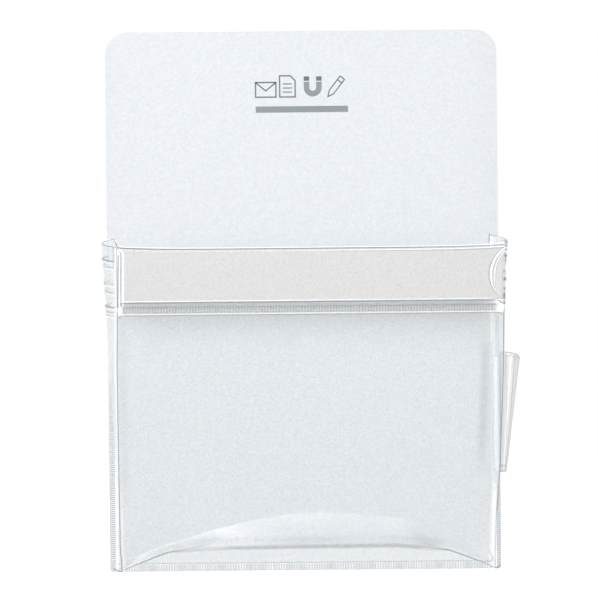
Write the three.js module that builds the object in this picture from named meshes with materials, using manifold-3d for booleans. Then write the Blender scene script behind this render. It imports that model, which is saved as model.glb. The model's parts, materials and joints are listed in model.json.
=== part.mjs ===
// A magnetic display pocket: a white backing sheet that magnets hold on a steel wall, with a clear
// soft film pocket welded on its front, a label sleeve with a card along the mouth and a pen loop.
// Millimetres, +Z up. X runs to the right, the front faces -Y, and the magnets touch the wall at y = 0.
import * as THREE from 'three';
import { mergeVertices } from 'three/addons/utils/BufferGeometryUtils.js';
import Module from 'manifold-3d';

// Backing sheet
const backingWidth = 240;
const backingHeight = 331;
const backingThickness = 1.0;
const topCornerRadius = 13.5;
const bottomCornerRadius = 2.5;

// Rubber magnet strips on its rear face
const magnetWidth = 206;
const magnetHeight = 32;
const magnetThickness = 1.0;
const magnetEdgeMargin = 14;
const magnetCornerRadius = 2;

// Clear film pocket
const filmThickness = 0.4;
const sideWeldWidth = 5.5;
const bottomWeldHeight = 5;
const frontShift = 1.6;
const pocketHeight = 196;
const mouthDepth = 30;
const gussetRise = 8.6;
const leftBulge = 8.6;
const rightBulge = 3.8;
const footBulge = 2.4;
const bulgeStart = 50;
const bulgeCrest = 0.7;

// Folds low on the front film: a crease over the bottom weld and a soft arc above it. At the film's
// corners its foot and the crease hang a little over the weld.
const creaseRise = 11.3;
const creaseCornerRise = -2.2;
const creaseSwell = 5.4;
const creaseCornerSwell = 1;
const footCornerRise = -3;
const arcRise = 32;
const arcCornerRise = 1.3;
const creaseSharpness = 4.5;
const arcSharpnessLeft = 1.58;
const arcSharpnessRight = 2.8;

// Label sleeve along the mouth, with its card
const sleeveHeight = 39.9;
const sleeveThickness = 0.3;
const sleeveWeldHeight = 4.9;
const sleeveBendHeight = 2.5;
const sleeveTopFold = 1.2;
const sleeveEndWeld = 1.8;
const sleeveCornerRadius = 2;
const notchDepth = 9.6;
const cardHeight = 30.6;
const cardThickness = 0.3;
const cardClosedEndMargin = 4.2;
const cardOpenEndMargin = 1.4;

// Pen loop on the right side weld
const loopTopHeight = 132.3;
const loopLength = 71.9;
const loopRimDrop = 2.4;
const loopThickness = 0.4;
const loopTopReach = 10.3;
const loopTopDepth = 11.8;
const loopBottomReach = 3.6;
const loopBottomDepth = 6;
const loopWallOverWeld = 1.6;

// Clearance between pieces that lie on each other
const fitGap = 0.3;

// Places worked out from the sizes above
const backingBottom = -backingHeight / 2;
const backingRear = -magnetThickness;
const backingFront = backingRear - backingThickness;
const weldFront = backingFront - filmThickness;
const weldInnerX = backingWidth / 2 - sideWeldWidth;
const filmHalfWidth = weldInnerX - fitGap;
const frontWidth = 2 * filmHalfWidth;
const gussetRootX = weldInnerX + fitGap + filmThickness / 2;
const hingeZ = backingBottom + bottomWeldHeight;
const hingeY = weldFront - fitGap;
const footDepth = backingFront - hingeY;
const mouthRise = pocketHeight - bottomWeldHeight;
const frontSlope = (mouthDepth - footDepth) / mouthRise;
const frontAngle = Math.atan(frontSlope);
const frontLength = Math.hypot(mouthRise, mouthDepth - footDepth);
const sleeveLow = frontLength - sleeveHeight;
const sleeveSillRise = sleeveWeldHeight + sleeveBendHeight;
const sleeveRear = -filmThickness - fitGap;

const finishes = {
  backing: { color: 0xedf0f5, roughness: 0.55, metalness: 0 },
  magnet: { color: 0x3b3633, roughness: 0.85, metalness: 0.05 },
  film: { color: 0xe3eaed, roughness: 0.12, metalness: 0, transparent: true, opacity: 0.4 },
  weld: { color: 0xdde1e2, roughness: 0.35, metalness: 0, transparent: true, opacity: 0.7 },
  card: { color: 0xe3e3e1, roughness: 0.85, metalness: 0 },
};

const wasm = await Module();
wasm.setup();

function piece(name, geometry, finish) {
  geometry.computeVertexNormals();
  const mesh = new THREE.Mesh(geometry, new THREE.MeshStandardMaterial(finishes[finish]));
  mesh.name = name;
  return mesh;
}

// Six times the volume of a closed mesh, negative when its faces point inwards.
function signedVolume(position, index) {
  const a = new THREE.Vector3();
  const b = new THREE.Vector3();
  const c = new THREE.Vector3();
  let sum = 0;
  for (let i = 0; i < index.length; i += 3) {
    a.fromBufferAttribute(position, index[i]);
    b.fromBufferAttribute(position, index[i + 1]);
    c.fromBufferAttribute(position, index[i + 2]);
    sum += a.dot(b.cross(c));
  }
  return sum;
}

// A closed solid with two skins. pointAt(u, v, skin) gives the point at the shares u and v of skin 0 or 1.
// Open sheets are closed by a rim all round. A sheet that wraps joins itself in u and has two end rims.
function sheetSolid(columns, rows, pointAt, wraps = false) {
  const across = wraps ? columns : columns + 1;
  const skinSize = across * (rows + 1);
  const vertices = [];
  for (const skin of [0, 1]) {
    for (let row = 0; row <= rows; row += 1) {
      for (let column = 0; column < across; column += 1) {
        vertices.push(...pointAt(column / columns, row / rows, skin));
      }
    }
  }
  const at = (column, row, skin) => skin * skinSize + row * across + (column % across);
  const index = [];
  const quad = (a, b, c, d) => index.push(a, b, c, a, c, d);
  for (let row = 0; row < rows; row += 1) {
    for (let column = 0; column < columns; column += 1) {
      quad(at(column, row, 0), at(column + 1, row, 0), at(column + 1, row + 1, 0), at(column, row + 1, 0));
      quad(at(column, row, 1), at(column, row + 1, 1), at(column + 1, row + 1, 1), at(column + 1, row, 1));
    }
  }
  for (let column = 0; column < columns; column += 1) {
    quad(at(column, 0, 1), at(column + 1, 0, 1), at(column + 1, 0, 0), at(column, 0, 0));
    quad(at(column, rows, 0), at(column + 1, rows, 0), at(column + 1, rows, 1), at(column, rows, 1));
  }
  for (let row = 0; row < rows && !wraps; row += 1) {
    quad(at(0, row, 0), at(0, row + 1, 0), at(0, row + 1, 1), at(0, row, 1));
    quad(at(columns, row, 1), at(columns, row + 1, 1), at(columns, row + 1, 0), at(columns, row, 0));
  }
  const geometry = new THREE.BufferGeometry();
  geometry.setAttribute('position', new THREE.Float32BufferAttribute(vertices, 3));
  if (signedVolume(geometry.getAttribute('position'), index) < 0) {
    index.reverse();
  }
  geometry.setIndex(index);
  return geometry;
}

// A flat outline in X and Z, given a thickness from y = rear towards the front.
function plate(outline, thickness, rear) {
  const options = { depth: thickness, bevelEnabled: false, curveSegments: 12 };
  const geometry = new THREE.ExtrudeGeometry(outline, options);
  geometry.rotateX(Math.PI / 2);
  geometry.translate(0, rear, 0);
  return geometry;
}

// A box between two corners.
function block(low, high) {
  const geometry = new THREE.BoxGeometry(high[0] - low[0], high[1] - low[1], high[2] - low[2]);
  geometry.translate((low[0] + high[0]) / 2, (low[1] + high[1]) / 2, (low[2] + high[2]) / 2);
  return geometry;
}

// A rectangle from its low corner, with radii at the bottom left, bottom right, top right and top left.
function roundedOutline(x, z, width, height, radii) {
  const [bottomLeft, bottomRight, topRight, topLeft] = radii;
  const quarter = Math.PI / 2;
  const outline = new THREE.Shape();
  outline.moveTo(x + bottomLeft, z);
  outline.lineTo(x + width - bottomRight, z);
  if (bottomRight > 0) {
    outline.absarc(x + width - bottomRight, z + bottomRight, bottomRight, -quarter, 0);
  }
  outline.lineTo(x + width, z + height - topRight);
  if (topRight > 0) {
    outline.absarc(x + width - topRight, z + height - topRight, topRight, 0, quarter);
  }
  outline.lineTo(x + topLeft, z + height);
  if (topLeft > 0) {
    outline.absarc(x + topLeft, z + height - topLeft, topLeft, quarter, 2 * quarter);
  }
  outline.lineTo(x, z + bottomLeft);
  if (bottomLeft > 0) {
    outline.absarc(x + bottomLeft, z + bottomLeft, bottomLeft, 2 * quarter, 3 * quarter);
  }
  return outline;
}

function toSolid(geometry) {
  const bare = geometry.clone();
  bare.deleteAttribute('normal');
  bare.deleteAttribute('uv');
  const merged = mergeVertices(bare, 1e-4);
  return new wasm.Manifold(
    new wasm.Mesh({
      numProp: 3,
      vertProperties: new Float32Array(merged.getAttribute('position').array),
      triVerts: new Uint32Array(merged.getIndex().array),
    }),
  );
}

function fromSolid(solid) {
  const mesh = solid.getMesh();
  const geometry = new THREE.BufferGeometry();
  geometry.setAttribute('position', new THREE.BufferAttribute(mesh.vertProperties, 3));
  geometry.setIndex(new THREE.BufferAttribute(mesh.triVerts, 1));
  return geometry;
}

function backingSheet() {
  const radii = [bottomCornerRadius, bottomCornerRadius, topCornerRadius, topCornerRadius];
  const outline = roundedOutline(-backingWidth / 2, backingBottom, backingWidth, backingHeight, radii);
  return piece('backing_sheet', plate(outline, backingThickness, backingRear), 'backing');
}

// The middle strip lies at the centre of the sheet, the other two near its top and bottom edges.
function magnetStrips() {
  const reach = backingHeight / 2 - magnetEdgeMargin - magnetHeight / 2;
  const places = { magnet_strip_top: reach, magnet_strip_middle: 0, magnet_strip_bottom: -reach };
  const radii = new Array(4).fill(magnetCornerRadius);
  return Object.entries(places).map(([name, centre]) => {
    const low = centre - magnetHeight / 2;
    const outline = roundedOutline(-magnetWidth / 2, low, magnetWidth, magnetHeight, radii);
    return piece(name, plate(outline, magnetThickness, 0), 'magnet');
  });
}

// The film's flat weld bands on the backing sheet: one up each side and one along the bottom.
function weldBands() {
  const height = pocketHeight + gussetRise;
  const leftX = -backingWidth / 2;
  const corner = bottomCornerRadius;
  const left = roundedOutline(leftX, backingBottom, sideWeldWidth, height, [corner, 0, 0, 0]);
  const right = roundedOutline(weldInnerX, backingBottom, sideWeldWidth, height, [0, corner, 0, 0]);
  const bottom = block([-weldInnerX, weldFront, backingBottom], [weldInnerX, backingFront, hingeZ]);
  return [
    piece('left_weld_flange', plate(left, filmThickness, backingFront), 'weld'),
    piece('right_weld_flange', plate(right, filmThickness, backingFront), 'weld'),
    piece('bottom_weld_flange', bottom, 'weld'),
  ];
}

// How far the film stands in front of the backing's front face at a height over the bottom weld.
function frontDepth(rise) {
  return footDepth + rise * frontSlope;
}

// A gusset is the film between a side weld and the front film's edge. Across the depth it bulges
// outwards by a sine with its crest nearer the front, and the bulge grows from the foot to the mouth.
function gusset(name, side, mouthBulge) {
  const crestPower = Math.log(0.5) / Math.log(bulgeCrest);
  const half = filmThickness / 2;
  const edgeX = filmHalfWidth + side * frontShift + fitGap + half;
  const rootDepth = filmThickness + fitGap + half;
  const lowestRise = (rootDepth + filmThickness) / frontSlope;
  const centreLine = (across, up) => {
    const rise = lowestRise + up * (mouthRise - lowestRise);
    const backRise = lowestRise + up * (mouthRise + gussetRise - lowestRise);
    const growth = Math.max(0, (rise - bulgeStart) / (mouthRise - bulgeStart));
    const bulge = (footBulge * rise) / mouthRise + (mouthBulge - footBulge) * growth;
    const x = gussetRootX + (edgeX - gussetRootX) * across + bulge * Math.sin(Math.PI * across ** crestPower);
    const depth = rootDepth + (frontDepth(rise) + half - rootDepth) * across;
    return { x, depth, rise: backRise + (rise - backRise) * across };
  };
  const step = 1e-3;
  const pointAt = (across, up, skin) => {
    const here = centreLine(across, up);
    const before = centreLine(Math.max(0, across - step), up);
    const after = centreLine(Math.min(1, across + step), up);
    const run = Math.hypot(after.x - before.x, after.depth - before.depth);
    const offset = (skin === 0 ? -half : half) / run;
    const x = here.x + offset * (after.depth - before.depth);
    const depth = here.depth - offset * (after.x - before.x);
    return [side * x, backingFront - depth, hingeZ + here.rise];
  };
  return piece(name, sheetSolid(12, 14, pointAt), 'film');
}

// A value that keeps its middle size over most of the width and falls to its corner size at the edges.
function acrossFilm(x, middle, corner, sharpness) {
  const share = Math.min(1, Math.abs(x) / filmHalfWidth);
  return middle + (corner - middle) * share ** sharpness;
}

// The front film in its own leaning frame, with its rear face on y = 0. Under the arc it swells
// forwards to the crease, and from the crease it goes back to its foot in front of the bottom weld.
function frontFilm() {
  const rowsToCrease = 4;
  const rowsToArc = 5;
  const rowsToMouth = 3;
  const rows = rowsToCrease + rowsToArc + rowsToMouth;
  const pointAt = (u, v, skin) => {
    const x = (2 * u - 1) * filmHalfWidth;
    const foot = acrossFilm(x, fitGap, footCornerRise, creaseSharpness);
    const footSwell = Math.max(0, -foot) * frontSlope;
    const crease = acrossFilm(x, creaseRise, creaseCornerRise, creaseSharpness);
    const fullSwell = acrossFilm(x, creaseSwell, creaseCornerSwell, creaseSharpness);
    const arc = acrossFilm(x, arcRise, arcCornerRise, x < 0 ? arcSharpnessLeft : arcSharpnessRight);
    const row = v * rows;
    let rise = 0;
    let swell = 0;
    if (row <= rowsToCrease) {
      const share = row / rowsToCrease;
      rise = foot + (crease - foot) * share;
      swell = footSwell + (fullSwell - footSwell) * share;
    } else if (row <= rowsToCrease + rowsToArc) {
      const share = (row - rowsToCrease) / rowsToArc;
      rise = crease + (arc - crease) * share;
      swell = fullSwell * (1 - share);
    } else {
      const share = (row - rowsToCrease - rowsToArc) / rowsToMouth;
      rise = arc + (frontLength - arc) * share;
    }
    return [x, -swell - skin * filmThickness, rise];
  };
  return piece('front_film', sheetSolid(44, rows, pointAt), 'film');
}

// The sleeve's outer film, open at its right end, where a round notch lets a thumb reach the card.
function labelSleeve() {
  const rear = sleeveRear - cardThickness - fitGap;
  const radii = [0, 0, 0, sleeveCornerRadius];
  const outline = roundedOutline(-filmHalfWidth, sleeveLow, frontWidth, sleeveHeight, radii);
  const openHeight = sleeveHeight - sleeveSillRise - sleeveTopFold;
  const notchRadius = ((openHeight / 2) ** 2 + notchDepth ** 2) / (2 * notchDepth);
  const cutter = new THREE.CylinderGeometry(notchRadius, notchRadius, 3 * sleeveThickness, 72);
  const notchX = filmHalfWidth + notchRadius - notchDepth;
  cutter.translate(notchX, rear - sleeveThickness / 2, sleeveLow + sleeveSillRise + openHeight / 2);
  const film = toSolid(plate(outline, sleeveThickness, rear));
  return piece('label_sleeve', fromSolid(film.subtract(toSolid(cutter))), 'film');
}

// The strip that joins the sleeve's two films: a weld and bend below, an end weld at the left and a
// fold above. It is open at the right, where the card goes in.
function labelWeldFlange() {
  const corner = sleeveCornerRadius;
  const inner = sleeveEndWeld - filmHalfWidth;
  const sill = sleeveLow + sleeveSillRise;
  const fold = frontLength - sleeveTopFold;
  const outline = new THREE.Shape();
  outline.moveTo(-filmHalfWidth, sleeveLow);
  outline.lineTo(filmHalfWidth, sleeveLow);
  outline.lineTo(filmHalfWidth, sill);
  outline.lineTo(inner, sill);
  outline.lineTo(inner, fold);
  outline.lineTo(filmHalfWidth, fold);
  outline.lineTo(filmHalfWidth, frontLength);
  outline.absarc(corner - filmHalfWidth, frontLength - corner, corner, Math.PI / 2, Math.PI);
  return piece('label_weld_flange', plate(outline, cardThickness, sleeveRear), 'weld');
}

// The card stands on the strip's sill, clear of the left weld and short of the open end.
function labelCard() {
  const low = sleeveLow + sleeveSillRise + fitGap;
  const left = cardClosedEndMargin - filmHalfWidth;
  const right = filmHalfWidth - cardOpenEndMargin;
  const card = block([left, sleeveRear - cardThickness, low], [right, sleeveRear, low + cardHeight]);
  return piece('label_card', card, 'card');
}

// The pen loop is a film tube that narrows downwards beside the backing's edge, and its top rim drops
// towards the front. Its flat tab lies on the right side weld, beside the gusset's root.
function penLoop() {
  const half = backingWidth / 2;
  const rear = filmThickness + fitGap;
  const bottom = loopTopHeight - loopLength;
  const sizeAt = (up) => {
    const reach = loopBottomReach + (loopTopReach - loopBottomReach) * up;
    const depth = loopBottomDepth + (loopTopDepth - loopBottomDepth) * up;
    const centre = half + (reach - loopWallOverWeld) / 2;
    return { centre, wide: (reach + loopWallOverWeld) / 2, deep: depth / 2 };
  };
  const wallAt = (around, up, skin) => {
    const { centre, wide, deep } = sizeAt(up);
    const turn = 2 * Math.PI * around;
    const inset = skin * loopThickness;
    const x = centre + (wide - inset) * Math.cos(turn);
    const depth = rear + deep + (deep - inset) * Math.sin(turn);
    const drop = (loopRimDrop * up * (depth - rear)) / loopTopDepth;
    return [x, backingFront - depth, backingBottom + bottom + up * loopLength - drop];
  };
  const wall = toSolid(sheetSolid(32, 4, wallAt, true));
  const tabInner = gussetRootX + filmThickness / 2 + 2 * fitGap;
  const tab = block(
    [tabInner, backingFront - rear - loopThickness, backingBottom + bottom],
    [sizeAt(0).centre, backingFront - rear, backingBottom + loopTopHeight - loopRimDrop],
  );
  return piece('pen_loop', fromSolid(wall.add(toSolid(tab))), 'film');
}

const pocket = new THREE.Group();
pocket.add(backingSheet(), ...magnetStrips(), ...weldBands());
pocket.add(gusset('left_gusset', -1, leftBulge), gusset('right_gusset', 1, rightBulge), penLoop());

const front = new THREE.Group();
front.position.set(frontShift, hingeY, hingeZ);
front.rotation.x = frontAngle;
front.add(frontFilm(), labelSleeve(), labelWeldFlange(), labelCard());
pocket.add(front);

export default pocket;
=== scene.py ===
# A magnetic display pocket: a white backing sheet with rubber magnets, a clear welded film pocket with
# a label sleeve and card along its mouth, and a film loop for a pen. Metres, +Z up, front faces -Y.
import json
import math

import bmesh
import bpy
import numpy as np
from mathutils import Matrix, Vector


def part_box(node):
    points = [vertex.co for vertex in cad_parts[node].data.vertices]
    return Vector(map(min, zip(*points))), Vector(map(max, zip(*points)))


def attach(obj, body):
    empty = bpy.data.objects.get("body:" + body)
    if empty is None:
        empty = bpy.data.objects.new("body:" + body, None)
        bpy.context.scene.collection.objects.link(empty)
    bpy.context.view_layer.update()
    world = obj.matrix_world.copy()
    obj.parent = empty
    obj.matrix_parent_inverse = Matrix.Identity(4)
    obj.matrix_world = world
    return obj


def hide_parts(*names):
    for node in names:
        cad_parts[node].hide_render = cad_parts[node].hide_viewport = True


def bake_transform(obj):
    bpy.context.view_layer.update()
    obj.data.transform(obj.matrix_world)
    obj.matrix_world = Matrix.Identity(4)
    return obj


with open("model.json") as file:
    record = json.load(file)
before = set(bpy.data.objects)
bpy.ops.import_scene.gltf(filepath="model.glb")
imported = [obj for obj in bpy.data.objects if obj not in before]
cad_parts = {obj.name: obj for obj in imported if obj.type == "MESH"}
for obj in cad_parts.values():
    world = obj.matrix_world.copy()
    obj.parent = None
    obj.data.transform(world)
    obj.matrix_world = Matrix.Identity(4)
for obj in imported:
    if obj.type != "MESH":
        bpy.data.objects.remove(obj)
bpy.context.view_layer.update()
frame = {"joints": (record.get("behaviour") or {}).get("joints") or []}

# Places taken from the frame. The front film stands on the pocket_mouth joint's axis.
backingLow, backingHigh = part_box("backing_sheet")
flangeLow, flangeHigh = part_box("label_weld_flange")
hinge = [joint["pos_m"] for joint in frame["joints"] if joint["name"] == "pocket_mouth"][0]
backingFront = backingLow[1]
backingBottom = backingLow[2]
backingHalf = backingHigh[0]
filmHalf = (flangeHigh[0] - flangeLow[0]) / 2

# The film pocket as a whole: how high and deep its mouth stands and how it is welded on.
pocket = {
    "mouthRise": 0.191,  # mouth over the bottom weld
    "mouthDepth": 0.030,  # mouth in front of the backing
    "footDepth": 0.0007,
    "filmThickness": 0.00025,
    "sideWeld": 0.0055,
    "weldHeight": 0.2046,  # side weld bands
    "weldRear": 0.00002,  # gap behind a weld band
    "sleeveHeight": 0.0399,  # label sleeve under the mouth
}
slope = (pocket["mouthDepth"] - pocket["footDepth"]) / pocket["mouthRise"]
lean = math.atan(slope)
filmLength = pocket["mouthRise"] / math.cos(lean)
sleeveLow = filmLength - pocket["sleeveHeight"]


# Smooth step from 0 to 1 between two values.
def ease(value, start, end):
    share = np.clip((value - start) / (end - start), 0, 1)
    return share * share * (3 - 2 * share)


# A round bump of height 1 at a centre, gone at a few widths from it.
def bump(value, centre, width):
    return np.exp(-(((value - centre) / width) ** 2))


# Adds up a piece's named marks, up to the most that shows.
def addUp(marks, most=1):
    return np.clip(sum(marks.values()), 0, most)


# Steps from 0 to 1 that lie closer together near both ends.
def closerAtEnds(count, strength=0.6):
    even = np.linspace(0, 1, count)
    return even - strength * np.sin(2 * np.pi * even) / (2 * np.pi)


# A line from the first point to the last that the ones between draw towards themselves. Each point
# weighs as much as its term of the two shares' sum, raised to the number of points less one.
def bentLine(pulls, count):
    pulls = np.array(pulls)
    share = np.linspace(0, 1, count)[:, None]
    last = len(pulls) - 1
    weights = [math.comb(last, k) * share**k * (1 - share) ** (last - k) for k in range(last + 1)]
    return sum(weight * pull for weight, pull in zip(weights, pulls))


# A place on the leaning front: across from its centre line, up along it, and lift in front of it.
def onFront(across, up, lift):
    y = hinge[1] - lift * math.cos(lean) - up * math.sin(lean)
    z = hinge[2] - lift * math.sin(lean) + up * math.cos(lean)
    return np.stack(np.broadcast_arrays(across + hinge[0], y, z), axis=-1)


# A place at a depth in front of the backing sheet.
def onBacking(x, depth, z):
    return np.stack(np.broadcast_arrays(x, backingFront - depth, z), axis=-1)


# Four-sided faces of a grid of points. A wrapped grid joins its last column to its first.
def gridFaces(rows, columns, wrap=False):
    index = np.arange(rows * columns).reshape(rows, columns)
    if wrap:
        index = np.concatenate([index, index[:, :1]], axis=1)
    corners = [index[:-1, :-1], index[:-1, 1:], index[1:, 1:], index[1:, :-1]]
    return np.stack(corners, axis=-1).reshape(-1, 4)


# Faces of a closed shape, turned where the volume inside them comes out negative, so they point out.
def facingOut(points, faces):
    a, b, c, d = (points[faces[:, i]] - points.mean(axis=0) for i in range(4))
    volume = np.sum(a * np.cross(b, c)) + np.sum(a * np.cross(c, d))
    return faces[:, ::-1] if volume < 0 else faces


# A closed sheet: two skins of points on the same grid, and a rim of faces between their edges. Shade
# and milk say, point by point, how much painted shade and how much milky white and painted highlight
# the film shows at its lines, folds and welds.
def closedSheet(outer, inner, wrap=False, shade=0.0, milkAndHighlight=0.0):
    rows, columns = outer.shape[:2]
    count = rows * columns
    index = np.arange(count).reshape(rows, columns)
    skin = gridFaces(rows, columns, wrap)
    if wrap:
        edges = [index[0], index[-1, ::-1]]
    else:
        edges = [np.concatenate([index[0], index[1:, -1], index[-1, -2::-1], index[-2:0:-1, 0]])]
    rims = []
    for edge in edges:
        onward = np.roll(edge, -1)
        rims.append(np.stack([onward, edge, edge + count, onward + count], axis=-1))
    points = np.concatenate([outer.reshape(-1, 3), inner.reshape(-1, 3)])
    faces = np.concatenate([skin, skin[:, ::-1] + count, *rims])
    tones = [np.tile(np.broadcast_to(tone, (rows, columns)).reshape(-1), 2) for tone in (shade, milkAndHighlight)]
    return {"points": points, "faces": facingOut(points, faces), "shade": tones[0], "milkAndHighlight": tones[1]}


# A closed sheet of even thickness on the leaning front.
def frontSheet(across, up, lift, thickness, shade, milkAndHighlight):
    outer = onFront(across, up, lift + thickness)
    return closedSheet(outer, onFront(across, up, lift), shade=shade, milkAndHighlight=milkAndHighlight)


# A film that is welded flat onto the backing: its inner skin takes the piece's second material, the
# backing's own, which shows through the outer skin.
def weldedSheet(outer, inner, shade, milkAndHighlight):
    sheet = closedSheet(outer, inner, shade=shade, milkAndHighlight=milkAndHighlight)
    skinFaces = (outer.shape[0] - 1) * (outer.shape[1] - 1)
    sheet["finish"] = np.zeros(len(sheet["faces"]))
    sheet["finish"][skinFaces:2 * skinFaces] = 1
    return sheet


# A closed rod along a path. Its section is a ring of points, given as shares sideways and outwards of a
# radius that may change along the path; outwards is square to the path and nearest to the way given.
def rod(path, radius, outwards=(0, -1, 0), shade=1.0, milkAndHighlight=0.0, closed=False):
    section = 8
    if closed:
        along = np.roll(path, -1, axis=0) - np.roll(path, 1, axis=0)
    else:
        along = np.gradient(path, axis=0)
    along /= np.linalg.norm(along, axis=1, keepdims=True)
    sideways = np.cross(along, np.broadcast_to(outwards, path.shape))
    sideways /= np.linalg.norm(sideways, axis=1, keepdims=True)
    out = np.cross(sideways, along)
    turn = np.linspace(0, 2 * np.pi, section, endpoint=False) + np.pi / section
    size = np.broadcast_to(radius, (len(path),))[:, None, None]
    ring = np.cos(turn)[None, :, None] * sideways[:, None] + np.sin(turn)[None, :, None] * out[:, None]
    points = (path[:, None] + size * ring).reshape(-1, 3)
    rows = len(path)
    faces = gridFaces(rows, section, wrap=True)
    if closed:
        first = np.arange(section)
        last = first + (rows - 1) * section
        bridge = [last, np.roll(last, -1), np.roll(first, -1), first]
        faces = np.concatenate([faces, np.stack(bridge, axis=-1)])
    else:
        end = np.array([[0, k, k + 1, k + 2] for k in range(1, section - 2, 2)])
        faces = np.concatenate([faces, end[:, ::-1], end + (rows - 1) * section])
    tones = [np.repeat(np.broadcast_to(tone, (rows,)), section) for tone in (shade, milkAndHighlight)]
    return {"points": points, "faces": facingOut(points, faces), "shade": tones[0], "milkAndHighlight": tones[1]}


# Puts closed surfaces together as one piece. Each surface names its material by its place in the list.
def makePiece(name, surfaces, materials, smooth=True):
    points = np.concatenate([surface["points"] for surface in surfaces])
    counts = [len(surface["points"]) for surface in surfaces]
    offsets = np.concatenate([[0], np.cumsum(counts)[:-1]])
    faces = np.concatenate([surface["faces"] + offset for surface, offset in zip(surfaces, offsets)])
    finish = [np.full(len(surface["faces"]), surface.get("finish", 0)) for surface in surfaces]
    mesh = bpy.data.meshes.new(name)
    mesh.from_pydata(points, [], faces, shade_flat=not smooth)
    for material in materials:
        mesh.materials.append(material)
    mesh.polygons.foreach_set("material_index", np.concatenate(finish).astype(np.int32))
    for tone in ("shade", "milkAndHighlight"):
        values = np.concatenate([surface[tone] for surface in surfaces])
        layer = mesh.attributes.new(tone, "FLOAT", "POINT")
        layer.data.foreach_set("value", values.astype(np.float32))
    piece = bpy.data.objects.new(name, mesh)
    bpy.context.scene.collection.objects.link(piece)
    return piece


# Thin clear film: the lamps, the room's light and mirrors pass it as if it weren't there, and only the
# camera sees it, so that many skins of film in a row stay clear.
def asClearFilm(piece):
    piece.visible_shadow = False
    piece.visible_diffuse = False
    piece.visible_glossy = False


# Starts a material and returns it with its node tree and output.
def newMaterial(name):
    material = bpy.data.materials.new(name)
    material.use_nodes = True
    tree = material.node_tree
    tree.nodes.clear()
    return material, tree, tree.nodes.new("ShaderNodeOutputMaterial")


# A new node with the numbers and colours of its inputs.
def addNode(tree, kind, **inputs):
    node = tree.nodes.new(kind)
    for key, value in inputs.items():
        node.inputs[key.replace("_", " ")].default_value = value
    return node


# Gives a node's first inputs a number each, or the output of another node.
def feed(tree, node, *values):
    for socket, value in zip(node.inputs, values):
        if isinstance(value, (int, float)):
            socket.default_value = value
        else:
            tree.links.new(value, socket)


# The result of one sum, product or the like.
def mathNode(tree, operation, first, second):
    node = tree.nodes.new("ShaderNodeMath")
    node.operation = operation
    feed(tree, node, first, second)
    return node.outputs[0]


# A share of the second shader over the first.
def mixShader(tree, amount, first, second):
    mix = tree.nodes.new("ShaderNodeMixShader")
    feed(tree, mix, amount, first, second)
    return mix.outputs[0]


# A colour between two, by an amount from 0 to 1.
def twoTone(tree, amount, first, second):
    mix = tree.nodes.new("ShaderNodeMix")
    mix.data_type = "RGBA"
    mix.inputs[6].default_value = first
    mix.inputs[7].default_value = second
    tree.links.new(amount, mix.inputs[0])
    return mix.outputs[2]


# The place on the piece itself, so that a pattern stays where it is when the piece moves.
def placeOn(tree):
    return tree.nodes.new("ShaderNodeTexCoord").outputs["Object"]


# Noise from 0 to 1 on the piece's own coordinates, which may be stretched first.
def noiseOn(tree, scale, detail, stretch=None):
    noise = addNode(tree, "ShaderNodeTexNoise", Scale=scale, Detail=detail)
    place = placeOn(tree)
    if stretch:
        mapping = addNode(tree, "ShaderNodeMapping", Scale=stretch)
        tree.links.new(place, mapping.inputs["Vector"])
        place = mapping.outputs[0]
    tree.links.new(place, noise.inputs["Vector"])
    return noise.outputs[0]


# Fine relief from a height.
def reliefFrom(tree, height, strength, depth):
    relief = addNode(tree, "ShaderNodeBump", Strength=strength, Distance=depth)
    tree.links.new(height, relief.inputs["Height"])
    return relief.outputs[0]


# Ends a material in a plain surface of a colour, a roughness and maybe a relief.
def plainSurface(tree, output, colour, roughness, relief):
    shader = addNode(tree, "ShaderNodeBsdfPrincipled", Roughness=roughness)
    tree.links.new(colour, shader.inputs["Base Color"])
    if relief:
        tree.links.new(relief, shader.inputs["Normal"])
    tree.links.new(shader.outputs[0], output.inputs[0])


# White soft sheet with a fine leather grain: small cells with a little cloudiness in tone.
def pvcSheet():
    look = {
        "pale": (0.89816, 0.93215, 0.9682, 1),
        "dark": (0.81968, 0.8507, 0.8836, 1),
        "roughness": 0.5,
        "grain": 900,
        "fineGrain": 1530,
        "relief": 0.8,
        "grainDepth": 0.00006,
        "clouds": 35,
        "speckle": 800,
    }
    material, tree, output = newMaterial("white_leather_grain_pvc")
    cells = addNode(tree, "ShaderNodeTexVoronoi", Scale=look["grain"])
    cells.feature = "SMOOTH_F1"
    tree.links.new(placeOn(tree), cells.inputs["Vector"])
    fine = mathNode(tree, "MULTIPLY", noiseOn(tree, look["fineGrain"], 3), 0.5)
    height = mathNode(tree, "ADD", cells.outputs["Distance"], fine)
    grain = reliefFrom(tree, height, look["relief"], look["grainDepth"])
    clouds = mathNode(tree, "MULTIPLY", noiseOn(tree, look["clouds"], 2), 0.3)
    speckle = mathNode(tree, "MULTIPLY", noiseOn(tree, look["speckle"], 2), 2.8)
    uneven = mathNode(tree, "SUBTRACT", mathNode(tree, "ADD", clouds, speckle), 1.05)
    colour = twoTone(tree, uneven, look["pale"], look["dark"])
    plainSurface(tree, output, colour, look["roughness"], grain)
    return material


# A matt material whose tone, and where it has a depth its relief too, follow one noise.
def mattMaterial(name, look):
    material, tree, output = newMaterial(name)
    noise = noiseOn(tree, look["scale"], look["detail"], look.get("stretch"))
    relief = reliefFrom(tree, noise, look["relief"], look["depth"]) if "depth" in look else None
    plainSurface(tree, output, twoTone(tree, noise, look["dark"], look["pale"]), look["roughness"], relief)
    return material
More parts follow.
